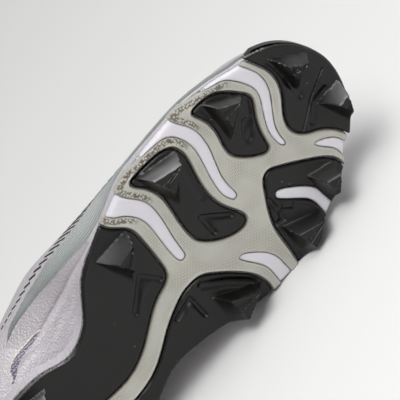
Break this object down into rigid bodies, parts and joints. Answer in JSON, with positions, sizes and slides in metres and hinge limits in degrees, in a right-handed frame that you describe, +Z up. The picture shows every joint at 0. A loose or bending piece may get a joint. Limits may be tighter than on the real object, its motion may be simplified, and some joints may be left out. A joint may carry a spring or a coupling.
{
  "type": "baseball cleat",
  "caption": "Left low baseball cleat with moulded rubber studs, slotted grey plate and white hollow upper, lying on its lateral side.",
  "frame": {"origin": "on the floor under the middle of the bounding box", "axes": "+X from heel to toe, +Z up from the floor to the medial side, sole facing -Y"},
  "size_m": [0.2972, 0.125, 0.1041],
  "materials": {
    "plate_rubber": "matt moulded rubber with a fine raised hatch",
    "cleat_rubber": "satin moulded rubber",
    "midsole_foam": "smooth skinned foam",
    "upper_leather": "white coated synthetic leather with a fine grain",
    "tongue_fabric": "padded mesh",
    "insole_fabric": "brushed knit",
    "lace_fabric": "flat woven lace"
  },
  "bodies": {
    "root": {"outsole_plate": "plate_rubber", "toe_pod": "cleat_rubber", "medial_front_pod": "cleat_rubber", "medial_ball_pod": "cleat_rubber", "lateral_ball_pod": "cleat_rubber", "lateral_rear_pod": "cleat_rubber", "medial_rear_pod": "cleat_rubber", "midsole": "midsole_foam", "upper": "upper_leather", "tongue": "tongue_fabric", "insole": "insole_fabric", "lace_bar_1": "lace_fabric", "lace_bar_2": "lace_fabric", "lace_bar_3": "lace_fabric", "lace_bar_4": "lace_fabric", "lace_bar_5": "lace_fabric", "lace_bar_6": "lace_fabric"}
  },
  "joints": []
}
